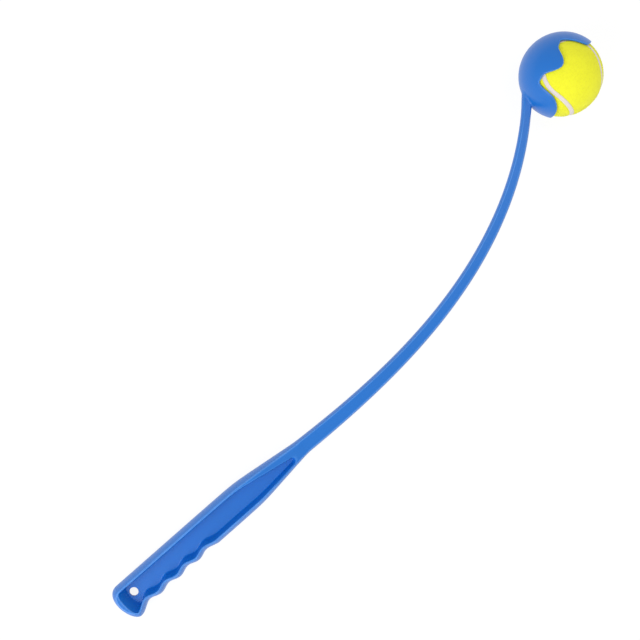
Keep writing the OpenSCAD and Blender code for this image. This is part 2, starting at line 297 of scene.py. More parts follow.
class BallSizes(PropertyGroup):
    """Sizes of the ball."""

    diameter: length("Diameter", "Diameter of the ball over its felt", 65)
    felt: length("Felt", "Thickness of the felt", 2.8)
    seam_w: length("Seam", "Width of the seam between the two felt panels", 3.6)
    seam_drop: length("Seam Drop", "How far the seam lies below the felt", 0.4)
    seam_lift: angle("Seam Lift", "Lift of the seam's four bends from the ball's equator", 18)
    turn: FloatVectorProperty(
        name="Turn", description="Turn of the seated ball", subtype="EULER",
        default=[math.radians(v) for v in (120, 49, 18)])
    nap_l: length("Nap", "Length of the fibres that stand out of the felt", 0.7)
    nap_w: length("Fibre", "Width of those fibres at their foot", 0.15)
    nap_density: FloatProperty(
        name="Nap Density", description="Fibres on each square millimetre of felt", default=2.6, min=0)


class Finishes(PropertyGroup):
    """Colours of the launcher and the ball."""

    plastic: colour("Plastic", "Blue of the moulding", "#0C72D0")
    felt: colour("Felt", "Yellow of the felt", "#FFFE38")
    seam: colour("Seam", "Off-white of the cement in the seam", "#EDE3DF")
    core: colour("Core", "Near-black of the core's rubber", "#2A2A2B")
    # Paler blue painted along the moulding's edges as a highlight
    rubbed: colour("Highlit Edge", "Paler blue of the moulding's rubbed edges", "#5FA0F0")
    stage: colour("Stage", "White of the table and the surroundings", "#FFFFFF")


class StageSizes(PropertyGroup):
    """Place of the camera and strength of the light."""

    aim: FloatVectorProperty(
        name="Aim", description="Point in the launcher's plane at the middle of the picture", subtype="XYZ",
        size=2, unit="LENGTH", default=(255.81 * MM, 64.93 * MM))
    distance: length("Distance", "Distance from the camera to that point", 963.6)
    spin: angle("Spin", "Angle of the handle in the picture", 41.35)
    lean: angle("Lean", "Lean of the camera to the back of the handle", 3)
    field: angle("Field of View", "Angle across the picture", 29.75)
    overhead: FloatProperty(
        name="Overhead", description="Strength of the tent's light straight above", default=0.55, min=0)
    horizon: FloatProperty(
        name="Horizon", description="Strength that the tent's light gains towards the table", default=0.2, min=0)
    slant: FloatProperty(
        name="Slant", description="How much more of that comes from the picture's right", default=0.2, min=0)
    softbox: FloatProperty(name="Softbox", description="Power of the large lamp, in watts", default=12, min=0)
    panel: FloatProperty(name="Panel", description="Power of the small lamp, in watts", default=1.6, min=0)


class LauncherSettings(PropertyGroup):
    """Everything on the launcher's panel."""

    handle: PointerProperty(type=HandleSizes)
    shaft: PointerProperty(type=ShaftSizes)
    cup: PointerProperty(type=CupSizes)
    ball: PointerProperty(type=BallSizes)
    finish: PointerProperty(type=Finishes)
    stage: PointerProperty(type=StageSizes)


def add(tree, kind, inputs=None, out=0, **settings):
    """Adds a node with its settings, fills its inputs with links or values, and gives one of its outputs."""
    node = tree.nodes.new(kind)
    for name, value in settings.items():
        setattr(node, name, value)
    for name, value in (inputs or {}).items():
        if isinstance(value, bpy.types.NodeSocket):
            tree.links.new(value, node.inputs[name])
        else:
            node.inputs[name].default_value = value
    return node.outputs[out] if node.outputs else node


def material_of(nodes, finish):
    """The material that a function lays the nodes of, named for that function and made once."""
    material = bpy.data.materials.get(nodes.__name__)
    if not material:
        material = bpy.data.materials.new(nodes.__name__)
        material.use_nodes = True
        tree = material.node_tree
        tree.nodes.clear()
        add(tree, "ShaderNodeOutputMaterial", {"Surface": nodes(tree, finish)})
    return material


def per_metre(mm):
    """Scale at which a noise has cells of that size."""
    return 1 / (mm * MM)


def moulded_polypropylene(tree, finish):
    """Polypropylene, injection moulded in a satin tool: an even pigment under a soft, slightly uneven gloss."""
    place = add(tree, "ShaderNodeTexCoord", out="Object")
    # The melt's flow leaves the pigment a little uneven over some centimetres
    flow = add(tree, "ShaderNodeTexNoise", {"Vector": place, "Scale": per_metre(38), "Detail": 3.0})
    tone = add(tree, "ShaderNodeMapRange", {"Value": flow, "To Min": 0.95, "To Max": 1.05})
    pigment = add(tree, "ShaderNodeVectorMath", {0: finish.plastic, "Scale": tone}, operation="SCALE")
    # Edges are painted paler as a highlight, here more and there less
    edge = add(tree, "ShaderNodeAttribute", out="Fac", attribute_name="rubbed")
    patchy = add(tree, "ShaderNodeMapRange", {
        "Value": add(tree, "ShaderNodeTexNoise", {"Vector": place, "Scale": per_metre(9), "Detail": 2.0}),
        "To Min": 0.3, "To Max": 0.8})
    share = add(tree, MATH, {0: edge, 1: patchy}, operation="MULTIPLY", use_clamp=True)
    highlighted = add(tree, "ShaderNodeMix", {
        "Factor": share, 6: pigment, 7: (*finish.rubbed, 1)}, out=2, data_type="RGBA")
    # The tool's eroded grain is about 0.1 mm, drawn at 0.7 mm so that it shows
    grain = add(tree, "ShaderNodeTexNoise", {"Vector": place, "Scale": per_metre(0.7), "Detail": 2.0})
    gloss = add(tree, "ShaderNodeMapRange", {"Value": grain, "To Min": 0.3, "To Max": 0.42})
    relief = add(tree, "ShaderNodeBump", {"Height": grain, "Strength": 0.06, "Distance": 0.05 * MM})
    return add(tree, "ShaderNodeBsdfPrincipled", {
        "Base Color": highlighted, "Roughness": gloss, "IOR": 1.53, "Normal": relief})


def needled_felt(tree, finish):
    """Needled wool and nylon felt: matte, with tufts a millimetre or two across and a pale sheen of loose ends."""
    place = add(tree, "ShaderNodeTexCoord", out="Object")
    tufts = add(tree, "ShaderNodeTexNoise", {
        "Vector": place, "Scale": per_metre(1.6), "Detail": 4.0, "Roughness": 0.65})
    fade = add(tree, "ShaderNodeTexNoise", {"Vector": place, "Scale": per_metre(14), "Detail": 2.0})
    tuft_tone = add(tree, "ShaderNodeMapRange", {
        "Value": tufts, "From Min": 0.3, "From Max": 0.7, "To Min": 0.94, "To Max": 1.06})
    fade_tone = add(tree, "ShaderNodeMapRange", {"Value": fade, "To Min": 0.97, "To Max": 1.03})
    tone = add(tree, MATH, {0: tuft_tone, 1: fade_tone}, operation="MULTIPLY")
    dye = add(tree, "ShaderNodeVectorMath", {0: finish.felt, "Scale": tone}, operation="SCALE")
    relief = add(tree, "ShaderNodeBump", {"Height": tufts, "Strength": 0.5, "Distance": 0.25 * MM})
    return add(tree, "ShaderNodeBsdfPrincipled", {
        "Base Color": dye, "Roughness": 0.95, "Specular IOR Level": 0.1, "Normal": relief,
        "Sheen Weight": 0.65, "Sheen Roughness": 0.5, "Sheen Tint": (1.0, 1.0, 0.3, 1.0)})


def rough_rubber(tree, tint, noise, tones, relief, shader):
    """Rubber whose tone and relief follow one fine pattern, from the values of its noise, tones, bump and shader."""
    place = add(tree, "ShaderNodeTexCoord", out="Object")
    pattern = add(tree, "ShaderNodeTexNoise", {"Vector": place, **noise})
    tone = add(tree, "ShaderNodeMapRange", {"Value": pattern, **tones})
    pigment = add(tree, "ShaderNodeVectorMath", {0: tint, "Scale": tone}, operation="SCALE")
    bump = add(tree, "ShaderNodeBump", {"Height": pattern, **relief})
    return add(tree, "ShaderNodeBsdfPrincipled", {"Base Color": pigment, "Normal": bump, **shader})


def rubber_cement(tree, finish):
    """Vulcanised rubber cement in the seam: off-white, soft and faintly pitted."""
    return rough_rubber(
        tree, finish.seam, {"Scale": per_metre(1.1), "Detail": 3.0}, {"To Min": 0.93, "To Max": 1.04},
        {"Strength": 0.3, "Distance": 0.15 * MM}, {"Roughness": 0.62, "IOR": 1.5})


def core_rubber(tree, finish):
    """Pressed rubber of the hollow core, near black, buffed rough so that the felt's glue holds."""
    return rough_rubber(
        tree, finish.core, {"Scale": per_metre(0.8), "Detail": 4.0}, {"To Min": 0.8, "To Max": 1.3},
        {"Strength": 0.4, "Distance": 0.2 * MM}, {"Roughness": 0.85, "IOR": 1.52})


def white_table(tree, finish):
    """White laminate, matt and even: it is seen nearly as bright as its surroundings, and keeps a soft shadow."""
    path = add(tree, "ShaderNodeLightPath", out="Is Camera Ray").node.outputs
    seen = add(tree, MATH, {0: path["Is Camera Ray"], 1: path["Is Glossy Ray"]}, operation="MAXIMUM")
    seen = add(tree, MATH, {0: seen, 1: path["Is Transmission Ray"]}, operation="MAXIMUM")
    matt, pale = (add(tree, "ShaderNodeBsdfDiffuse", {"Color": (v, v, v, 1)}) for v in (TABLE_GREY, TABLE_SHADE))
    glow = add(tree, "ShaderNodeEmission", {"Color": (*finish.stage, 1), "Strength": TABLE_GLOW})
    shown = add(tree, "ShaderNodeAddShader", {0: pale, 1: glow})
    return add(tree, "ShaderNodeMixShader", {0: seen, 1: matt, 2: shown})


def new_object(name, data):
    """A new object in the scene."""
    made = bpy.data.objects.new(name, data)
    bpy.context.scene.collection.objects.link(made)
    return made


def mark(piece, name, values):
    """Stores a number for each point of a piece under that name."""
    values = np.asarray(values, np.float32)
    piece.data.attributes.new(name, "FLOAT", "POINT").data.foreach_set("value", values)


def new_piece(name, points, faces, material, place=LAID):
    """A smooth mesh object at the origin, with its place in its points."""
    mesh = bpy.data.meshes.new(name)
    mesh.from_pydata([tuple(p) for p in points], [], [tuple(int(i) for i in f) for f in faces])
    mesh.transform(place)
    mesh.shade_smooth()
    mesh.materials.append(material)
    return new_object(name, mesh)


def face_outwards(mesh):
    """Turns every face of a mesh outwards."""
    work = bmesh.new()
    work.from_mesh(mesh)
    bmesh.ops.recalc_face_normals(work, faces=work.faces)
    work.to_mesh(mesh)
    work.free()


def new_tree(name, inputs):
    """A geometry node tree with a geometry in and out, and the named inputs given as (name, socket type)."""
    tree = bpy.data.node_groups.new(name, "GeometryNodeTree")
    tree.interface.new_socket("Geometry", in_out="INPUT", socket_type="NodeSocketGeometry")
    for label, kind in inputs:
        tree.interface.new_socket(label, in_out="INPUT", socket_type=kind)
    tree.interface.new_socket("Geometry", in_out="OUTPUT", socket_type="NodeSocketGeometry")
    return tree, tree.nodes.new("NodeGroupInput").outputs


def grown(piece, tree, values):
    """Runs a tree on a piece with the given inputs and leaves the result as its plain mesh."""
    modifier = piece.modifiers.new(tree.name, "NODES")
    modifier.node_group = tree
    for item in tree.interface.items_tree:
        if item.in_out == "INPUT" and item.name in values:
            modifier[item.identifier] = values[item.name]
    graph = bpy.context.evaluated_depsgraph_get()
    mesh = bpy.data.meshes.new_from_object(piece.evaluated_get(graph), depsgraph=graph)
    piece.modifiers.clear()
    old, piece.data = piece.data, mesh
    bpy.data.meshes.remove(old)
    mesh.name = piece.name


def coordinates(mesh):
    """The points of a mesh as an array."""
    points = np.empty(len(mesh.vertices) * 3)
    mesh.vertices.foreach_get("co", points)
    return points.reshape(-1, 3)


def mix(a, b, t):
    """Value a share t of the way from a to b."""
    return a + (b - a) * t


def ease(t):
    """Smooth rise from 0 to 1."""
    return (1 - np.cos(math.pi * t)) / 2


def ramp(x, soft):
    """Stays near 0, bends upwards round 0, and then rises as x does."""
    return (x + np.hypot(x, soft)) / 2


def unit(vectors):
    """Vectors made one long."""
    return vectors / np.linalg.norm(vectors, axis=-1, keepdims=True)


def bezier(a, b, c, steps):
    """Points from a to c along a curve that b pulls on, both ends included."""
    return [a * (1 - t) ** 2 + b * 2 * t * (1 - t) + c * t ** 2 for t in np.linspace(0, 1, steps + 1)]


def rounded(before, corner, after, size):
    """Points of a rounded corner, for many corners at once. It takes less than half of either side."""
    ends = []
    for side in (before - corner, after - corner):
        span = np.linalg.norm(side, axis=-1, keepdims=True)
        ends.append(corner + side / span * np.minimum(size, CORNER_SHARE * span))
    return bezier(ends[0], corner, ends[1], CORNER_STEPS)


def grid_faces(index, closed=False):
    """Quads of a grid of point numbers, whose columns may close into a ring."""
    if closed:
        index = np.concatenate([index, index[:, :1]], axis=1)
    quads = np.stack([index[:-1, :-1], index[1:, :-1], index[1:, 1:], index[:-1, 1:]], axis=-1)
    return quads.reshape(-1, 4).tolist()


class HandleForm:
    """The handle's outline and thickness at a distance x along it, and the closed lines round it."""

    def __init__(self, settings):
        self.handle = settings.handle
        self.shaft = settings.shaft
        self.butt_x = -self.handle.hole_inset
        self.flare_x = self.butt_x + BUTT_REACH
        self.valley = self.handle.grip_front - self.handle.groove_depth
        self.last_x = self.handle.groove_start + (self.handle.groove_count - 1) * self.handle.groove_pitch
        self.plain_x = self.last_x + GROOVE_RUNOUT * self.handle.groove_pitch

    def taper(self, x, start):
        """Share of a taper that is done at x."""
        end = self.handle.joint_x - TAPER_END

        def run(at):
            return ramp(at - start, TAPER_SOFT) - ramp(at - end, TAPER_END_SOFT)
        return run(x) / run(self.handle.joint_x)

    def back_y(self, x):
        """The back's distance from the axis."""
        end = self.shaft.width_start / 2 - self.handle.joint_drop
        return mix(self.handle.grip_back, end, self.taper(x, self.handle.back_taper_x))

    def front_y(self, x):
        """The finger side's distance from the axis, below zero."""
        h = self.handle
        flare = mix(self.valley, h.flare_reach, ease((h.groove_start - x) / (h.groove_start - self.flare_x)))
        groove = self.valley + h.groove_depth * ease(2 * (x - h.groove_start) / h.groove_pitch)
        runout = self.valley + h.groove_depth * ease((x - self.last_x) / (self.plain_x - self.last_x))
        end = self.shaft.width_start / 2 + h.joint_drop
        plain = mix(h.grip_front, end, self.taper(x, h.front_taper_x))
        parts = [x < self.flare_x, x < h.groove_start, x < self.last_x, x < self.plain_x]
        return -np.select(parts, [h.flare_reach, flare, groove, runout], plain)

    def half_h(self, x):
        """Half of the thickness."""
        end = self.shaft.thickness_start
        return mix(self.handle.thickness, end, self.taper(x, self.handle.height_taper_x)) / 2

    def bulge(self, x):
        """Swell of the walls."""
        return mix(self.handle.grip_bulge, self.shaft.bulge, self.taper(x, self.handle.back_taper_x))

    def back_land(self, x):
        """Width of the back rim."""
        return self.handle.rim_back + self.handle.rim_land * self.taper(x, self.handle.back_taper_x)

    def ring(self, front_in, back_in, swell, end_x, reach, far_x, tip_r, slip=0):
        """One line round the handle: finger side, butt, back and far end, set in from the outline."""
        near_x = end_x + reach
        side_x = far_x - tip_r
        plain = [self.flare_x, SQUARE_FROM, SQUARE_TO, self.handle.joint_x]
        own = [near_x, SQUARE_FROM, SQUARE_TO, side_x]
        x = np.interp(np.linspace(plain[3], plain[0], FRONT_STEPS + 1), plain, own)
        front = np.stack([x, self.front_y(x - slip) + front_in + swell * self.bulge(x)], axis=-1)
        x = np.interp(np.linspace(plain[0], plain[3], BACK_STEPS + 1), plain, own)
        back = np.stack([x, self.back_y(x) - back_in(x) - swell * self.bulge(x)], axis=-1)
        pull = reach / CUBIC_PULL
        t = np.linspace(0, 1, BUTT_STEPS + 1)[1:-1, None]
        front_pull = front[-1] - (pull * BUTT_SKEW, 0)
        back_pull = back[0] - (pull * (1 - BUTT_SKEW), 0)
        butt = (front[-1] * (1 - t) ** 3 + front_pull * 3 * t * (1 - t) ** 2
                + back_pull * 3 * t ** 2 * (1 - t) + back[0] * t ** 3)
        a = np.linspace(0, math.pi, FAR_STEPS + 1)[1:-1]
        middle = (front[0] + back[-1]) / 2
        half = (back[-1] - front[0])[1] / 2
        far = middle + np.stack([tip_r * np.sin(a), half * np.cos(a)], axis=-1)
        return np.concatenate([front, butt, back, far])

    def raised(self, line, share):
        """A line round the handle lifted to a share of half of its thickness."""
        return np.column_stack([line, share * self.half_h(line[:, 0])])

    def wall(self, level, inset=0.0):
        """The outside of the handle at a share of half of its thickness."""
        end_x = self.butt_x + self.handle.butt_bulge * level ** 2 + inset
        line = self.ring(inset, lambda x: inset, level ** 2, end_x, BUTT_REACH, self.handle.joint_x, 0)
        return self.raised(line, level)

    def recess(self):
        """Edge of the recess on the rim, its foot on the web and a line on the web just inside its foot."""
        h = self.handle
        edge = self.ring(h.rim_front, self.back_land, 1, self.butt_x + h.butt_bulge + h.rim_butt,
                         RECESS_REACH, h.recess_end_x, RECESS_TIP_R)
        foot = self.ring(h.rim_front + h.draft_front, lambda x: self.back_land(x) + h.draft_back, 1,
                         -h.hole_d / 2 - h.hole_land, RECESS_REACH, h.recess_end_x - h.draft_end, RECESS_TIP_R,
                         h.foot_slip)
        # That line keeps clear of the hanging hole and of its own other side
        ahead = np.roll(foot, -1, axis=0) - np.roll(foot, 1, axis=0)
        inwards = unit(np.column_stack([ahead[:, 1], -ahead[:, 0]]))
        room = np.linalg.norm(foot, axis=1) - h.hole_d / 2 - HOLE_ROOM
        x = np.minimum(foot[:, 0], h.recess_end_x - h.draft_end - RECESS_TIP_R)
        width = (self.back_y(x) - self.back_land(x) - h.draft_back - self.front_y(x)
                 - h.rim_front - h.draft_front - 2 * self.bulge(x))
        # It also keeps close to the foot at the butt, whose corners are tight
        near_butt = np.interp(foot[:, 0], FLOOR_PLACES, FLOOR_STEPS)
        step = np.minimum(np.minimum(FLOOR_ROOM * room, FLOOR_WIDTH * width ** 2), near_butt)
        floor = foot + inwards * step[:, None]
        foot, floor = (np.column_stack([line, np.full(len(line), h.web / 2)]) for line in (foot, floor))
        return self.raised(edge, 1), foot, floor


def handle_rows(form):
    """Rows of points from the handle's middle height over the rim to the web: those of the wall, then the rest.

    With them come rows of how much painted highlight each point gets, which is most along the edges of the rim.
    """
    handle = form.handle
    wall = [form.wall(level) for level in np.linspace(0, ARRIS_LEVEL, WALL_STEPS + 1)]
    land_start = form.wall(1, handle.arris)
    arris = bezier(wall[-1], form.wall(1), land_start, CORNER_STEPS)[1:-1]
    edge, foot, floor = form.recess()
    brow = rounded(land_start, edge, foot, handle.recess_edge)
    fillet = rounded(edge, foot, floor, handle.recess_fillet)
    land = [form.raised(mix(land_start, brow[0], step / LAND_STEPS)[:, :2], 1) for step in range(1, LAND_STEPS)]
    fall = [mix(brow[-1], fillet[0], share) for share in FALL_SHARES]
    # The painted highlight: none at the joint, which is no edge, and less on the recess's edge where the back rim is
    # wide and that edge is soft
    back, far = slice(-BACK_STEPS - FAR_STEPS, 1 - FAR_STEPS), slice(1 - FAR_STEPS, None)
    unhighlighted, outer_edge, inner_edge = (np.full(len(floor), share) for share in (0.0, 1.0, 1.0))
    outer_edge[far] = 0
    inner_edge[back] = 1 - form.taper(edge[back, 0], handle.back_taper_x)
    inner_edge[far] = np.linspace(0, 1, FAR_STEPS - 1)
    across = np.linalg.norm(brow[0] - land_start, axis=1) / LAND_STEPS / HIGHLIGHT_REACH
    fade = [np.maximum(outer_edge * np.clip(1 - across * step, 0, 1),
                       inner_edge * np.clip(1 - across * (LAND_STEPS - step), 0, 1)) for step in range(1, LAND_STEPS)]
    wall_highlight = [unhighlighted] * len(wall) + [outer_edge] * len(arris)
    inner_highlight = [outer_edge, *fade] + [inner_edge] * len(brow) + [unhighlighted] * (len(fall) + len(fillet) + 1)
    return wall + arris, [land_start, *land, *brow, *fall, *fillet, floor], wall_highlight, inner_highlight


def web_with_hole(line, ring):
    """Triangles of the flat web between a line and a ring round the hanging hole, by the numbers of their points."""
    work = bmesh.new()
    loops = []
    for points in (line, ring):
        verts = [work.verts.new(p) for p in points]
        loops.append([work.edges.new((v, verts[(i + 1) % len(verts)])) for i, v in enumerate(verts)])
    work.verts.index_update()
    filled = bmesh.ops.triangle_fill(work, edges=loops[0] + loops[1], use_beauty=True, normal=(0, 0, 1))
    faces = [[v.index for v in f.verts] for f in filled["geom"] if isinstance(f, bmesh.types.BMFace)]
    work.free()
    return faces


def mould_handle(settings, material):
    """The handle: walls, rims, recesses, web and hanging hole, open where the shaft goes on."""
    form = HandleForm(settings)
    handle = settings.handle
    wall, inner, wall_highlight, inner_highlight = handle_rows(form)
    side = len(wall[0]) - (FAR_STEPS - 1)
    outer = [row[:side] * (1, 1, -1) for row in wall[:0:-1]] + [row[:side] for row in wall]
    index = np.arange(len(outer) * side).reshape(len(outer), side)
    faces = grid_faces(index)
    # The hanging hole, from its middle over its rounded edge to a ring on the web
    a = np.linspace(0, 2 * math.pi, HOLE_STEPS, endpoint=False)
    circle = np.column_stack([np.cos(a), np.sin(a), 0 * a])
    radius, wide, top = handle.hole_d / 2, handle.hole_d / 2 + HOLE_EDGE, np.array([0, 0, handle.web / 2])
    below = top - (0, 0, HOLE_EDGE)
    hole = bezier(circle * radius + below, circle * radius + top, circle * wide + top, CORNER_STEPS)
    hole.append(circle * (wide + HOLE_RING) + top)
    web = web_with_hole(inner[-1], hole[-1])
    waist = index.size + np.arange(HOLE_STEPS)
    points = [*outer, circle * radius]
    unhighlighted = np.zeros(HOLE_STEPS)
    # How much painted highlight each point gets, most along the rims' edges
    rubbed = [row[:side] for row in wall_highlight[:0:-1] + wall_highlight] + [unhighlighted]
    # Both recesses, whose first rows close the wall's top and bottom
    for sign, wall_row in ((1, index[-1]), (-1, index[0])):
        count = sum(map(len, points))
        rows = count + np.arange(len(inner) * len(inner[0])).reshape(len(inner), -1)
        rings = count + rows.size + np.arange(len(hole) * HOLE_STEPS).reshape(len(hole), -1)
        points += [row * (1, 1, sign) for row in inner + hole]
        rubbed += inner_highlight + [unhighlighted] * len(hole)
        numbers = np.concatenate([rows[-1], rings[-1]])
        half = grid_faces(np.stack([wall_row, rows[0, :side]])) + grid_faces(rows, closed=True)
        half += grid_faces(np.stack([waist, *rings]), closed=True)
        half += [[numbers[i] for i in f] for f in web]
        faces += half if sign > 0 else [f[::-1] for f in half]
    piece = new_piece("handle_grip", np.concatenate(points), faces, material)
    mark(piece, "rubbed", np.concatenate(rubbed))
    face_outwards(piece.data)
    return piece


def shaft_section():
    """One closed section of the shaft as shares across, of the swell, of the arris and up."""
    levels = np.linspace(0, ARRIS_LEVEL, WALL_STEPS + 1)
    t = np.linspace(0, 1, CORNER_STEPS + 1)[1:]
    swell = np.concatenate([levels ** 2, mix(ARRIS_LEVEL ** 2, 1, 1 - (1 - t) ** 2)])
    arris = np.concatenate([0 * levels, t ** 2])
    height = np.concatenate([levels, mix(ARRIS_LEVEL, 1, 1 - (1 - t) ** 2)])
    half = np.column_stack([-np.ones_like(height), swell, arris, height])
    front = np.concatenate([(half * (1, 1, 1, -1))[:0:-1], half])
    across = -np.cos(np.linspace(0, math.pi, FAR_STEPS + 1))[1:-1]
    face = np.column_stack([across, np.ones((FAR_STEPS - 1, 3))])
    return np.concatenate([front, face, (front * (-1, 1, 1, 1))[::-1], (face * (1, 1, 1, -1))[::-1]])


def shaft_tree():
    """Sweeps shares of a section along a curve that tightens towards its end."""
    numbers = ("Length", "Start Width", "End Width", "Waist", "Start Thickness", "End Thickness", "Swell", "Arris",
               "Dip", "Bend", "Even Share", "Flare", "Flare Length")
    tree, given = new_tree("shaft_sweep", [
        ("Sections", "NodeSocketInt"), *((name, "NodeSocketFloat") for name in numbers),
        ("Start", "NodeSocketVector"), ("Material", "NodeSocketMaterial")])

    def turned_at(t):
        spread = add(tree, MATH, {0: given["Even Share"], 1: t}, operation="MULTIPLY")
        rest = add(tree, MATH, {0: 1.0, 1: given["Even Share"]}, operation="SUBTRACT")
        square = add(tree, MATH, {0: t, 1: t}, operation="MULTIPLY")
        share = add(tree, MATH, {0: rest, 1: square, 2: spread}, operation="MULTIPLY_ADD")
        turned = add(tree, MATH, {0: share, 1: given["Bend"]}, operation="MULTIPLY")
        return add(tree, MATH, {0: turned, 1: given["Dip"]}, operation="SUBTRACT")

    # The curve's points, each a stride further along the heading half way to it
    index = add(tree, "GeometryNodeInputIndex")
    middle = add(tree, MATH, {0: index, 1: 0.5}, operation="ADD")
    middle = add(tree, MATH, {0: middle, 1: given["Sections"]}, operation="DIVIDE")
    turned = turned_at(middle)
    cosine, sine = (add(tree, MATH, {0: turned}, operation=kind) for kind in ("COSINE", "SINE"))
    stride = add(tree, MATH, {0: given["Length"], 1: given["Sections"]}, operation="DIVIDE")
    ahead = add(tree, "ShaderNodeCombineXYZ", {"X": cosine, "Y": sine})
    ahead = add(tree, "ShaderNodeVectorMath", {0: ahead, "Scale": stride}, operation="SCALE")
    reached = add(tree, "GeometryNodeAccumulateField", {0: ahead}, out="Trailing", data_type="FLOAT_VECTOR")
    count = add(tree, MATH, {0: given["Sections"], 1: 1.0}, operation="ADD")
    line = add(tree, "GeometryNodeMeshLine", {"Count": count})
    line = add(tree, "GeometryNodeSetPosition", {"Geometry": line, "Position": reached})

    # Width and thickness of the section at its share of the length
    along, across, swell, arris, height = (
        add(tree, "GeometryNodeInputNamedAttribute", {"Name": name}, data_type="FLOAT")
        for name in ("along", "across", "swell", "arris", "height"))
    waist = to_go = add(tree, MATH, {0: 1.0, 1: along}, operation="SUBTRACT")
    for factor in (to_go, along, WAIST_SCALE, given["Waist"]):
        waist = add(tree, MATH, {0: waist, 1: factor}, operation="MULTIPLY")
    left = add(tree, MATH, {0: to_go, 1: given["Length"]}, operation="MULTIPLY")
    left = add(tree, MATH, {0: left, 1: given["Flare Length"]}, operation="DIVIDE", use_clamp=True)
    near = add(tree, MATH, {0: 1.0, 1: left}, operation="SUBTRACT")
    near = add(tree, MATH, {0: near, 1: near}, operation="MULTIPLY")
    flare = add(tree, MATH, {0: near, 1: given["Flare"]}, operation="MULTIPLY")
    halves = []
    for name, narrowed in (("Width", waist), ("Thickness", 0.0)):
        size = add(tree, "ShaderNodeMix", {0: along, 2: given["Start " + name], 3: given["End " + name]})
        size = add(tree, MATH, {0: size, 1: narrowed}, operation="SUBTRACT")
        size = add(tree, MATH, {0: size, 1: flare}, operation="ADD")
        halves.append(add(tree, MATH, {0: size, 1: 2.0}, operation="DIVIDE"))
    inset = add(tree, MATH, {0: swell, 1: given["Swell"]}, operation="MULTIPLY")
    inset = add(tree, MATH, {0: arris, 1: given["Arris"], 2: inset}, operation="MULTIPLY_ADD")
    side = add(tree, MATH, {0: halves[0], 1: inset}, operation="SUBTRACT")
    side = add(tree, MATH, {0: side, 1: across}, operation="MULTIPLY")
    up = add(tree, MATH, {0: halves[1], 1: height}, operation="MULTIPLY")

    # The first section stays square to the handle, and the others follow the curve
    started = add(tree, MATH, {0: along, 1: 0.0}, operation="GREATER_THAN")
    turned = add(tree, MATH, {0: turned_at(along), 1: started}, operation="MULTIPLY")
    turn = add(tree, "ShaderNodeCombineXYZ", {"Z": turned})
    offset = add(tree, "ShaderNodeCombineXYZ", {"Y": side, "Z": up})
    offset = add(tree, "ShaderNodeVectorRotate", {
        "Vector": offset, "Rotation": turn}, rotation_type="EULER_XYZ")
    section = add(tree, MATH, {0: along, 1: given["Sections"]}, operation="MULTIPLY")
    section = add(tree, "FunctionNodeFloatToInt", {0: section}, rounding_mode="ROUND")
    at = add(tree, "GeometryNodeSampleIndex", {
        "Geometry": line, "Value": add(tree, "GeometryNodeInputPosition"), "Index": section},
        data_type="FLOAT_VECTOR")
    at = add(tree, "ShaderNodeVectorMath", {0: at, 1: given["Start"]}, operation="ADD")
    at = add(tree, "ShaderNodeVectorMath", {0: at, 1: offset}, operation="ADD")
    swept = add(tree, "GeometryNodeSetPosition", {"Geometry": given["Geometry"], "Position": at})
    swept = add(tree, "GeometryNodeRealizeInstances", {"Geometry": swept})
    swept = add(tree, "GeometryNodeSetMaterial", {"Geometry": swept, "Material": given["Material"]})
    add(tree, "NodeGroupOutput", {"Geometry": swept})
    return tree


def heading(shaft, t):
    """Angle of the shaft at a share of its length."""
    return shaft.bend * (shaft.even * t + (1 - shaft.even) * t ** 2) - shaft.dip


def shaft_end(settings):
    """Where the shaft's curve ends, in the launcher's plane, and its angle there."""
    shaft = settings.shaft
    turned = heading(shaft, (np.arange(SHAFT_STEPS) + 0.5) / SHAFT_STEPS)
    strides = np.column_stack([np.cos(turned), np.sin(turned), 0 * turned]) * shaft.curve_l / SHAFT_STEPS
    start = np.array([settings.handle.joint_x, -settings.handle.joint_drop, 0])
    return start + strides.sum(axis=0), heading(shaft, 1)


def cup_radii(settings):
    """Inner and outer radius of the cup."""
    inner = settings.ball.diameter / 2 + settings.cup.gap
    return inner, inner + settings.cup.wall


def cup_middle(settings):
    """Middle of the cup and of the seated ball, in the launcher's plane."""
    end, turned = shaft_end(settings)
    bearing = turned - settings.cup.turn
    middle = end + cup_radii(settings)[1] * np.array([math.cos(bearing), math.sin(bearing), 0])
    corners = [c for half in ("core_half_a", "core_half_b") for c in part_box(half)]
    low, high = np.min(corners, axis=0), np.max(corners, axis=0)
    if np.linalg.norm(np.array(LAID @ Vector(middle)) - (low + high) / 2) > FRAME_SLACK:
        raise ValueError("the cup's middle is not where the frame has the ball")
    return middle


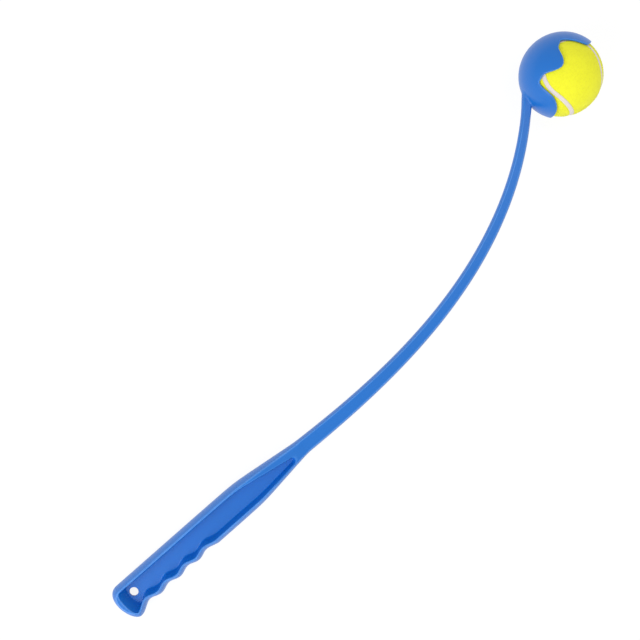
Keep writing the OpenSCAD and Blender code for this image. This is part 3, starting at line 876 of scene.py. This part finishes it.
def land_on_cup(rings, settings):
    """Ends the shaft's lines on the cup's outside, in a fillet. Gives the points, and the normals of the last."""
    middle = cup_middle(settings)
    radius = cup_radii(settings)[1]
    shaft = settings.shaft
    first, stride = SHAFT_STEPS - ROOT_STEPS, shaft.curve_l / SHAFT_STEPS
    turned = heading(shaft, 1)
    run_in = np.array([math.cos(turned), math.sin(turned), 0]) * stride
    beyond = [rings[SHAFT_STEPS] + run_in * step for step in range(1, ROOT_STEPS)]
    lines = np.concatenate([rings[:SHAFT_STEPS + 1], beyond])
    column = np.arange(lines.shape[1])

    def at(place):
        step = np.clip(place.astype(int), 0, len(lines) - 2)
        return mix(lines[step, column], lines[step + 1, column], (place - step)[:, None])

    # Where each line meets the cup, by halving
    low = np.full(len(column), first, float)
    high = np.full(len(column), len(lines) - 1.0)
    for _ in range(HALVINGS):
        half = (low + high) / 2
        outside = np.linalg.norm(at(half) - middle, axis=1) > radius
        low, high = np.where(outside, half, low), np.where(outside, high, half)
    met = at(low)
    start = low - shaft.fillet / stride
    for step in range(first, SHAFT_STEPS + 1):
        rings[step] = at(mix(float(first), start, (step - first) / ROOT_STEPS))
    normal = unit(met - middle)
    outwards = unit(np.cross(np.roll(met, -1, axis=0) - np.roll(met, 1, axis=0), normal))
    if np.sum(outwards * (met - met.mean(axis=0))) < 0:
        outwards = -outwards
    landing = unit(met + outwards * shaft.fillet - middle)
    sunk = middle + landing * (radius - FILLET_SUNK)
    for step, row in enumerate(bezier(rings[SHAFT_STEPS], met, sunk, FILLET_STEPS)):
        rings[SHAFT_STEPS + step] = row
    return rings, landing


def sweep_shaft(settings, material):
    """The shaft, from the handle's end to its fillet on the cup."""
    shaft, handle = settings.shaft, settings.handle
    section = shaft_section()
    count = SHAFT_STEPS + 1 + FILLET_STEPS
    index = np.arange(count * len(section)).reshape(count, -1)
    piece = new_piece("shaft_arm", np.zeros((index.size, 3)), grid_faces(index, closed=True), material)
    along = np.minimum(np.arange(count) / SHAFT_STEPS, 1)
    columns = {"along": np.repeat(along, len(section))}
    columns.update(zip(("across", "swell", "arris", "height"), np.tile(section, (count, 1)).T))
    for name, values in columns.items():
        mark(piece, name, values)
    grown(piece, shaft_tree(), {
        "Sections": SHAFT_STEPS, "Length": shaft.curve_l, "Swell": shaft.bulge, "Arris": handle.arris,
        "Start Width": shaft.width_start, "End Width": shaft.width_end, "Waist": shaft.waist,
        "Start Thickness": shaft.thickness_start, "End Thickness": shaft.thickness_end,
        "Dip": shaft.dip, "Bend": shaft.bend, "Even Share": shaft.even,
        "Flare": shaft.flare, "Flare Length": shaft.flare_l,
        "Start": (handle.joint_x, -handle.joint_drop, 0.0), "Material": material})
    rings, landing = land_on_cup(coordinates(piece.data).reshape(count, -1, 3), settings)
    piece.data.vertices.foreach_set("co", rings.ravel())
    for name in columns:
        piece.data.attributes.remove(piece.data.attributes[name])
    piece.data.transform(LAID)
    # Painted highlight along the shaft's rounded edges, fading out towards the cup
    inset = (1 - np.abs(section[:, 0])) * shaft.width_start / 2
    rubbed = np.clip(1 - inset / HIGHLIGHT_REACH, 0, 1) * (section[:, 2] > 0)
    mark(piece, "rubbed", np.outer(np.clip((1 - along) * HIGHLIGHT_FADE, 0, 1), rubbed).ravel())
    root = {int(i): LAID.to_3x3() @ Vector(n) for i, n in zip(index[-1], landing)}
    return piece, root


def close_end(piece, ring):
    """Closes an open end of a piece with one flat face on its own points."""
    work = bmesh.new()
    work.from_mesh(piece.data)
    work.verts.ensure_lookup_table()
    work.faces.new([work.verts[i] for i in ring])
    work.to_mesh(piece.data)
    work.free()


def set_normals(piece, normals, end_corners):
    """Gives some points of a piece their own normals, except in the faces that close its ends, which come last."""
    every = np.zeros((len(piece.data.vertices), 3))
    for number, normal in normals.items():
        every[number] = normal
    corners = np.empty(len(piece.data.loops), int)
    piece.data.loops.foreach_get("vertex_index", corners)
    every = every[corners]
    every[-end_corners:] = 0
    piece.data.normals_split_custom_set(every.tolist())


def join_smoothly(handle, shaft, root):
    """Gives the points that handle and shaft share one normal each, so that no line shows, and closes both."""
    count = len(shaft_section())
    near = {}
    for number, co in enumerate(coordinates(handle.data)):
        near[tuple(np.round(co / JOINT_CELL).astype(int))] = number
    own, other = dict(root), {}
    for number in range(count):
        spot = np.round(np.array(shaft.data.vertices[number].co) / JOINT_CELL).astype(int)
        found = [near[key] for d in np.ndindex(3, 3, 3) if (key := tuple(spot + np.array(d) - 1)) in near]
        if not found:
            raise ValueError("the shaft does not start where the handle ends")
        normals = shaft.data.vertex_normals[number].vector, handle.data.vertex_normals[found[0]].vector
        own[number] = other[found[0]] = (normals[0] + normals[1]).normalized()
    last = len(shaft.data.vertices)
    close_end(handle, list(other)[::-1])
    close_end(shaft, range(count))
    close_end(shaft, range(last - 1, last - count - 1, -1))
    set_normals(handle, other, count)
    set_normals(shaft, own, 2 * count)


def in_cup(settings):
    """Places what is drawn round the cup's middle, with the mouth along +Z."""
    mouth = shaft_end(settings)[1] - settings.cup.mouth_turn
    turn = Matrix.Rotation(mouth + math.pi / 2, 4, "Z") @ Matrix.Rotation(math.pi / 2, 4, "X")
    return LAID @ Matrix.Translation(cup_middle(settings)) @ turn


def towards(tilt, turn):
    """Directions at an angle from the mouth axis and a turn round it."""
    return np.stack([np.sin(tilt) * np.cos(turn), np.sin(tilt) * np.sin(turn), np.cos(tilt)], axis=-1)


def cup_rim(cup, turn):
    """Angle between the mouth axis and the rim at a turn round that axis."""
    off = np.abs((turn + math.pi / 2) % math.pi - math.pi / 2)
    at_root = np.cos(turn) < 0
    tip = np.where(at_root, cup.root_tip, cup.far_tip)
    fall = np.where(at_root, cup.root_fall, cup.far_fall)
    notch = np.where(at_root, cup.root_notch, cup.far_notch)
    half = np.where(at_root, cup.root_half, cup.far_half)
    long = tip + fall * (off / half) ** PRONG_CURVE
    side = mix(cup.side_tip, notch, ease(np.minimum(1, (math.pi / 2 - off) / cup.side_half)))
    return mix(side, long, 1 / (1 + (off / half) ** PRONG_STEEP))


def mould_cup(settings, material):
    """The cup: a thin ball shell whose rim runs out in four prongs, straight inside past the ball's widest part."""
    cup = settings.cup
    inner_r, outer_r = cup_radii(settings)
    # Points at even distances along the rim, and the way from there into the wall
    fine = np.linspace(0, 2 * math.pi, RIM_STEPS + 1)
    strides = np.linalg.norm(np.diff(towards(cup_rim(cup, fine), fine), axis=0), axis=1)
    run = np.concatenate([[0], np.cumsum(strides)])
    turn = np.interp(np.linspace(0, run[-1], CUP_ROUND, endpoint=False), run, fine)
    rim = towards(cup_rim(cup, turn), turn)
    into = unit(np.cross(np.roll(rim, -1, axis=0) - np.roll(rim, 1, axis=0), rim))

    def outside(tilt):
        return np.full_like(tilt, outer_r)

    def inside(tilt):
        return inner_r / np.sin(np.minimum(tilt, math.pi / 2))

    corner_in = rim * inside(cup_rim(cup, turn))[:, None]
    lip = np.minimum(cup.lip, CORNER_SHARE * np.linalg.norm(rim * outer_r - corner_in, axis=1))[:, None]
    start = unit(rim + into * lip / outer_r)
    tilt = np.arccos(start[:, 2])
    round_ = np.arctan2(start[:, 1], start[:, 0])
    tilts = [mix(math.pi, tilt, share) for share in np.linspace(0, 1, CUP_ROWS + 1)[1:-1]]
    sheets = [[towards(row, round_) * reach(row)[:, None] for row in tilts] for reach in (outside, inside)]
    starts = [start * reach(tilt)[:, None] for reach in (outside, inside)]
    edge = bezier(starts[0], rim * outer_r, rim * (outer_r - lip), CORNER_STEPS)
    edge += bezier(corner_in + rim * lip, corner_in, starts[1], CORNER_STEPS)
    rows = sheets[0] + edge + sheets[1][::-1]
    points = np.concatenate([*rows, [[0, 0, -outer_r]], [[0, 0, -inner_r]]])
    index = np.arange(len(rows) * CUP_ROUND).reshape(len(rows), -1)
    faces = grid_faces(index, closed=True)
    for pole, ring in ((index.size, index[0]), (index.size + 1, index[-1][::-1])):
        faces += [[pole, a, b] for a, b in zip(ring, np.roll(ring, -1))]
    piece = new_piece("cup_shell", points, faces, material, in_cup(settings))
    # Painted highlight on the rounding of the rim's outer corner, none on its inner corner
    rise = np.linspace(0, 1, CORNER_STEPS + 1)
    unhighlighted = np.zeros(len(sheets[0]))
    shares = np.concatenate([unhighlighted, np.minimum(rise, 1 - rise) * 2, 0 * rise, unhighlighted])
    mark(piece, "rubbed", [*np.repeat(shares, CUP_ROUND), 0, 0])
    face_outwards(piece.data)
    return piece


def in_ball(settings):
    """Places what is drawn round the ball's middle, in the turn in which it sits."""
    return LAID @ Matrix.Translation(cup_middle(settings)) @ Euler(settings.ball.turn).to_matrix().to_4x4()


def bend_axes(lift, upper):
    """Middles of the seam's two bends above or below the ball's equator."""
    turns = (45, 225) if upper else (-45, 135)
    level = math.cos(lift)
    rise = math.sin(lift) if upper else -math.sin(lift)
    return [Vector((level * math.cos(math.radians(t)), level * math.sin(math.radians(t)), rise)) for t in turns]


def seam_angle(lift):
    """Angle between the middle of a bend and the seam round it."""
    return math.acos(math.cos(lift) * math.cos(math.pi / 4))


def off_seam(directions, lift):
    """Angle from the seam's middle line, above zero on one panel and below on the other."""
    sides = []
    for upper in (True, False):
        axes = np.array(bend_axes(lift, upper))
        sides.append(np.arccos(np.clip(directions @ axes.T, -1, 1)).min(axis=1) - seam_angle(lift))
    return np.where(directions[:, 2] >= 0, sides[0], -sides[1])


def felt_sphere(ball, cuts):
    """A unit sphere cut along the equator and along lines beside the seam, at these angles off its middle line."""
    work = bmesh.new()
    bmesh.ops.create_icosphere(work, subdivisions=BALL_QUARTERINGS, radius=1)

    def cut(faces, point, normal):
        parts = list({*faces, *(e for f in faces for e in f.edges), *(v for f in faces for v in f.verts)})
        bmesh.ops.bisect_plane(work, geom=parts, dist=CUT_NEAR, plane_co=point, plane_no=normal)

    cut(list(work.faces), (0, 0, 0), (0, 0, 1))
    for upper in (True, False):
        for axis in bend_axes(ball.seam_lift, upper):
            for off in cuts:
                half = [f for f in work.faces if (f.calc_center_median().z > 0) == upper]
                cut(half, axis * math.cos(seam_angle(ball.seam_lift) + off), axis)
    bmesh.ops.remove_doubles(work, verts=work.verts, dist=MERGE_NEAR)
    bmesh.ops.triangulate(work, faces=[f for f in work.faces if len(f.verts) > 4])
    work.verts.index_update()
    directions = unit(np.array([v.co for v in work.verts]))
    faces = [[v.index for v in f.verts] for f in work.faces]
    work.free()
    return directions, faces


def thick_patch(directions, faces, outer, inner):
    """A closed patch of a ball's skin between two radii, and for each point whether it lies on the outside."""
    used = sorted({i for f in faces for i in f})
    number = {old: new for new, old in enumerate(used)}
    count = len(used)
    top = [[number[i] for i in f] for f in faces]
    sides = {}
    for f in top:
        for a, b in zip(f, f[1:] + f[:1]):
            if sides.pop((b, a), None) is None:
                sides[(a, b)] = True
    bottom = [[i + count for i in f[::-1]] for f in top]
    walls = [[b, a, a + count, b + count] for a, b in sides]
    points = np.concatenate([directions[used] * outer[used][:, None], directions[used] * inner])
    return points, top + bottom + walls, np.arange(2 * count) < count


def nap_tree():
    """Grows short fibres that lean every way out of the felt."""
    tree, given = new_tree("felt_nap", [
        *((name, "NodeSocketFloat") for name in ("Fibre Length", "Fibre Width", "Density")),
        ("Seed", "NodeSocketInt"), ("Material", "NodeSocketMaterial")])
    cover = add(tree, "GeometryNodeInputNamedAttribute", {"Name": "nap"}, data_type="FLOAT")
    outside = add(tree, MATH, {0: cover, 1: 0.5}, operation="GREATER_THAN")
    points = add(tree, "GeometryNodeDistributePointsOnFaces", {
        "Mesh": given["Geometry"], "Selection": outside, "Density": given["Density"], "Seed": given["Seed"]})
    lean = add(tree, "FunctionNodeRandomValue", {
        0: (LEAN_LEAST, 0.0, 0.0), 1: (LEAN_MOST, 0.0, 2 * math.pi), "Seed": LEAN_SEED}, data_type="FLOAT_VECTOR")
    parts = add(tree, "ShaderNodeSeparateXYZ", {0: lean})
    yaw = add(tree, "ShaderNodeCombineXYZ", {"Z": parts.node.outputs["Z"]})
    pitch = add(tree, "ShaderNodeCombineXYZ", {"X": parts})
    turn = points.node.outputs["Rotation"]
    for part in (yaw, pitch):
        turn = add(tree, "FunctionNodeRotateRotation", {
            "Rotation": turn, "Rotate By": add(tree, "FunctionNodeEulerToRotation", {0: part})},
            rotation_space="LOCAL")
    half = add(tree, MATH, {0: given["Fibre Width"], 1: 2.0}, operation="DIVIDE")
    fibre = add(tree, "GeometryNodeMeshCone", {
        "Vertices": 3, "Radius Top": 0.0, "Radius Bottom": half, "Depth": given["Fibre Length"]}, fill_type="NGON")
    size = add(tree, "FunctionNodeRandomValue", {
        2: FIBRE_SHORTEST, 3: 1.0, "Seed": LENGTH_SEED}, out=1, data_type="FLOAT")
    fibres = add(tree, "GeometryNodeInstanceOnPoints", {
        "Points": points, "Instance": fibre, "Rotation": turn, "Scale": size})
    fibres = add(tree, "GeometryNodeSetShadeSmooth", {0: add(tree, "GeometryNodeRealizeInstances", {0: fibres})})
    both = tree.nodes.new("GeometryNodeJoinGeometry")
    for part in (fibres, given["Geometry"]):
        tree.links.new(part, both.inputs[0])
    whole = add(tree, "GeometryNodeRealizeInstances", {0: both.outputs[0]})
    whole = add(tree, "GeometryNodeSetMaterial", {0: whole, "Material": given["Material"]})
    add(tree, "NodeGroupOutput", {0: whole})
    return tree


def lay_felt(settings, material):
    """The two felt panels, rounded down at the seam, with their nap."""
    ball = settings.ball
    radius = ball.diameter / 2
    half_seam = ball.seam_w / 2 / radius
    beside = ROLL_LINES / radius
    cuts = np.concatenate([half_seam + beside, -half_seam - beside])
    directions, faces = felt_sphere(ball, cuts)
    # The skin lies a little under the felt's size, which the nap fills, and dips at the seam
    distance = (np.abs(off_seam(directions, ball.seam_lift)) - half_seam) * radius
    dip = np.sqrt(np.clip(1 - (1 - np.clip(distance / ROLL_W, 0, 1)) ** 2, 0, 1))
    skin = radius - NAP_ROOM - ROLL_DEPTH * (1 - dip)
    centres = unit(np.array([directions[f].mean(axis=0) for f in faces]))
    side = off_seam(centres, ball.seam_lift)
    pieces = []
    for name, chosen in (("felt_skin_a", side > half_seam), ("felt_skin_b", side < -half_seam)):
        patch = [f for f, wanted in zip(faces, chosen) if wanted]
        points, sides, outside = thick_patch(directions, patch, skin, radius - ball.felt + CORE_ROOM)
        piece = new_piece(name, points, sides, material, in_ball(settings))
        face_outwards(piece.data)
        mark(piece, "nap", outside)
        grown(piece, nap_tree(), {
            "Fibre Length": ball.nap_l, "Fibre Width": ball.nap_w, "Density": ball.nap_density / MM ** 2,
            "Seed": PLACE_SEED, "Material": material})
        piece.data.attributes.remove(piece.data.attributes["nap"])
        pieces.append(piece)
    return pieces


def seam_tree():
    """Repeats one bend of the seam all round the ball, every other one turned over."""
    tree, given = new_tree("seam_bends", [("Bends", "NodeSocketInt"), ("Material", "NodeSocketMaterial")])
    points = add(tree, "GeometryNodeMeshLine", {"Count": given["Bends"], "Offset": (0.0, 0.0, 0.0)})
    index = add(tree, "GeometryNodeInputIndex")
    odd = add(tree, MATH, {0: index, 1: 2.0}, operation="MODULO")
    pair = add(tree, MATH, {0: index, 1: 2.0}, operation="DIVIDE")
    pair = add(tree, MATH, {0: pair}, operation="FLOOR")
    over = add(tree, MATH, {0: odd, 1: math.pi}, operation="MULTIPLY")
    round_ = add(tree, MATH, {0: pair, 1: math.pi}, operation="MULTIPLY")
    turn = add(tree, "ShaderNodeCombineXYZ", {"X": over, "Z": round_})
    turn = add(tree, "FunctionNodeEulerToRotation", {0: turn})
    bends = add(tree, "GeometryNodeInstanceOnPoints", {
        "Points": points, "Instance": given["Geometry"], "Rotation": turn})
    bends = add(tree, "GeometryNodeRealizeInstances", {0: bends})
    bends = add(tree, "GeometryNodeMergeByDistance", {"Geometry": bends, "Distance": SEAM_MERGE})
    bends = add(tree, "GeometryNodeSetMaterial", {"Geometry": bends, "Material": given["Material"]})
    add(tree, "NodeGroupOutput", {"Geometry": bends})
    return tree


def lay_seam(settings, material):
    """The cement strip in the seam: slightly crowned, and as deep as the felt."""
    ball = settings.ball
    radius = ball.diameter / 2
    top, foot = radius - ball.seam_drop, radius - ball.felt + CORE_ROOM
    half = ball.seam_w / 2 / radius
    # Across the strip: foot, crowned top and foot again, as angle off the middle line and radius
    shares = np.linspace(-1, 1, SEAM_LINES)
    across = [(-half, foot), *((half * s, top - SEAM_CROWN * s ** 4) for s in shares), (half, foot), (0, foot)]
    axis = bend_axes(ball.seam_lift, True)[0]
    level = Vector((-axis.y, axis.x, 0)).normalized()
    rise = axis.cross(level)
    rings = []
    for share in np.linspace(-1, 1, SEAM_STEPS):
        ring = []
        for off, r in across:
            tilt = seam_angle(ball.seam_lift) + off
            # Each line turns round the bend's middle until it reaches the equator
            turn = share * math.acos(-math.tan(ball.seam_lift) / math.tan(tilt))
            side = level * math.sin(turn) + rise * math.cos(turn)
            ring.append((axis * math.cos(tilt) + side * math.sin(tilt)) * r)
        rings.append(ring)
    index = np.arange(len(rings) * len(across)).reshape(len(rings), -1)
    piece = new_piece("seam_strip", np.array(rings).reshape(-1, 3), grid_faces(index, closed=True), material,
                      Matrix.Identity(4))
    grown(piece, seam_tree(), {"Bends": SEAM_BENDS, "Material": material})
    piece.data.transform(in_ball(settings))
    face_outwards(piece.data)
    return piece


def picture_axes(stage):
    """Directions to the right, up and towards the camera, in the launcher's plane before it is laid."""
    back = Vector((0, math.sin(stage.lean), math.cos(stage.lean)))
    right = Matrix.Rotation(-stage.spin, 3, back) @ Vector((1, 0, 0))
    return right, back.cross(right), back


def set_floor(settings):
    """A white table under the launcher, which keeps its shadow."""
    ground, half = CAD_BOX[0][2], TABLE_HALF
    corners = [(x, y, ground) for x, y in ((-half, -half), (half, -half), (half, half), (-half, half))]
    material = material_of(white_table, settings.finish)
    new_piece("table_top", corners, [(0, 1, 2, 3)], material, Matrix.Identity(4))


def set_tent(settings):
    """White cloth all round, a little brighter low down and at the picture's right."""
    stage, white = settings.stage, settings.finish.stage
    world = bpy.data.worlds.new("white_tent")
    bpy.context.scene.world = world
    world.use_nodes = True
    tree = world.node_tree
    tree.nodes.clear()
    way = add(tree, "ShaderNodeTexCoord", out="Generated")
    height, side = (
        add(tree, "ShaderNodeVectorMath", {0: way, 1: axis}, out="Value", operation="DOT_PRODUCT")
        for axis in ((0.0, 0.0, 1.0), LAID.to_3x3() @ picture_axes(stage)[0]))
    square = add(tree, MATH, {0: height, 1: height}, operation="MULTIPLY")
    low = add(tree, MATH, {0: 1.0, 1: square}, operation="SUBTRACT")
    gain = add(tree, MATH, {0: side, 1: stage.slant, 2: stage.horizon}, operation="MULTIPLY_ADD")
    strength = add(tree, MATH, {0: low, 1: gain, 2: stage.overhead}, operation="MULTIPLY_ADD")
    # The camera sees the tent plain white
    path = add(tree, "ShaderNodeLightPath", out="Is Camera Ray").node.outputs
    seen = add(tree, MATH, {0: path["Is Camera Ray"], 1: path["Is Transmission Ray"]}, operation="MAXIMUM")
    strength = add(tree, "ShaderNodeMix", {0: seen, 2: strength, 3: 1.0})
    sky = add(tree, "ShaderNodeBackground", {"Color": (*white, 1), "Strength": strength})
    add(tree, "ShaderNodeOutputWorld", {"Surface": sky})


def set_lamps(settings):
    """A large softbox low beyond the butt of the handle, and a small panel high over the cup."""
    stage = settings.stage
    axes = Matrix(picture_axes(stage)).transposed()
    aim = LAID @ Vector((*stage.aim, 0))
    for name, size, way in LAMPS:
        data = bpy.data.lights.new(name, "AREA")
        data.shape = "RECTANGLE"
        data.size, data.size_y = size
        data.energy = getattr(stage, name)
        way = (LAID.to_3x3() @ axes @ Vector(way)).normalized()
        turn = way.to_track_quat("Z", "Y").to_matrix().to_4x4()
        new_object(name, data).matrix_world = Matrix.Translation(aim + way * LAMP_DISTANCE) @ turn


def set_camera(settings):
    """The camera, square to the picture."""
    stage = settings.stage
    data = bpy.data.cameras.new("camera")
    data.sensor_width = SENSOR_W
    data.sensor_fit = "HORIZONTAL"
    data.lens = SENSOR_W / 2 / math.tan(stage.field / 2)
    camera = new_object("camera", data)
    turn = Matrix(picture_axes(stage)).transposed().to_4x4()
    aim = Matrix.Translation((*stage.aim, 0))
    camera.matrix_world = LAID @ aim @ turn @ Matrix.Translation((0, 0, stage.distance))
    bpy.context.scene.camera = camera


class LAUNCHER_OT_moulding(Operator):
    """Build the handle, the shaft and the cup, which are one moulding"""

    bl_idname = "launcher.moulding"
    bl_label = "Moulding"

    def execute(self, context):
        settings = context.scene.launcher
        plastic = material_of(moulded_polypropylene, settings.finish)
        handle = mould_handle(settings, plastic)
        shaft, root = sweep_shaft(settings, plastic)
        join_smoothly(handle, shaft, root)
        cup = mould_cup(settings, plastic)
        for piece, node in ((handle, "handle"), (shaft, "shaft"), (cup, "cup")):
            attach(piece, "launcher")
            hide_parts(node)
        return {"FINISHED"}


class LAUNCHER_OT_felt(Operator):
    """Lay the ball's two felt panels and grow their nap"""

    bl_idname = "launcher.felt"
    bl_label = "Felt"

    def execute(self, context):
        settings = context.scene.launcher
        pieces = lay_felt(settings, material_of(needled_felt, settings.finish))
        for piece, node in zip(pieces, ("felt_panel_a", "felt_panel_b")):
            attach(piece, "ball")
            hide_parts(node)
        return {"FINISHED"}


class LAUNCHER_OT_seam(Operator):
    """Lay the cement strip between the felt panels"""

    bl_idname = "launcher.seam"
    bl_label = "Seam"

    def execute(self, context):
        settings = context.scene.launcher
        piece = lay_seam(settings, material_of(rubber_cement, settings.finish))
        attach(piece, "ball")
        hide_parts("seam")
        return {"FINISHED"}


class LAUNCHER_OT_core(Operator):
    """Give the two halves of the ball's core their rubber"""

    bl_idname = "launcher.core"
    bl_label = "Core"

    def execute(self, context):
        rubber = material_of(core_rubber, context.scene.launcher.finish)
        for name in ("core_half_a", "core_half_b"):
            half = frame["nodes"][name]
            half.data.materials.clear()
            half.data.materials.append(rubber)
        return {"FINISHED"}


class LAUNCHER_OT_stage(Operator):
    """Set up the table, the light and the camera"""

    bl_idname = "launcher.stage"
    bl_label = "Stage"

    def execute(self, context):
        settings = context.scene.launcher
        set_floor(settings)
        set_tent(settings)
        set_lamps(settings)
        set_camera(settings)
        context.scene.view_settings.view_transform = "Standard"
        return {"FINISHED"}


class LAUNCHER_PT_panel(Panel):
    """Sizes and steps of the launcher"""

    bl_idname = "LAUNCHER_PT_panel"
    bl_label = "Ball Launcher"
    bl_space_type = "VIEW_3D"
    bl_region_type = "UI"
    bl_category = "Launcher"

    def draw(self, context):
        settings = context.scene.launcher
        for group in ("handle", "shaft", "cup", "ball", "finish", "stage"):
            box = self.layout.box()
            box.label(text=group.capitalize())
            sizes = getattr(settings, group)
            for name in sizes.__annotations__:
                box.prop(sizes, name)
        for operator in OPERATORS:
            self.layout.operator(operator.bl_idname)


OPERATORS = (LAUNCHER_OT_moulding, LAUNCHER_OT_felt, LAUNCHER_OT_seam, LAUNCHER_OT_core, LAUNCHER_OT_stage)
GROUPS = (HandleSizes, ShaftSizes, CupSizes, BallSizes, Finishes, StageSizes, LauncherSettings)


def register():
    """Adds the panel, its settings and its steps."""
    for cls in (*GROUPS, *OPERATORS, LAUNCHER_PT_panel):
        bpy.utils.register_class(cls)
    bpy.types.Scene.launcher = PointerProperty(type=LauncherSettings)


def unregister():
    """Takes them away again."""
    del bpy.types.Scene.launcher
    for cls in (LAUNCHER_PT_panel, *OPERATORS[::-1], *GROUPS[::-1]):
        bpy.utils.unregister_class(cls)


def main():
    """Builds the launcher and its stage."""
    register()
    bpy.ops.launcher.stage()
    bpy.ops.launcher.moulding()
    bpy.ops.launcher.felt()
    bpy.ops.launcher.seam()
    bpy.ops.launcher.core()


if __name__ == "__main__":
    main()
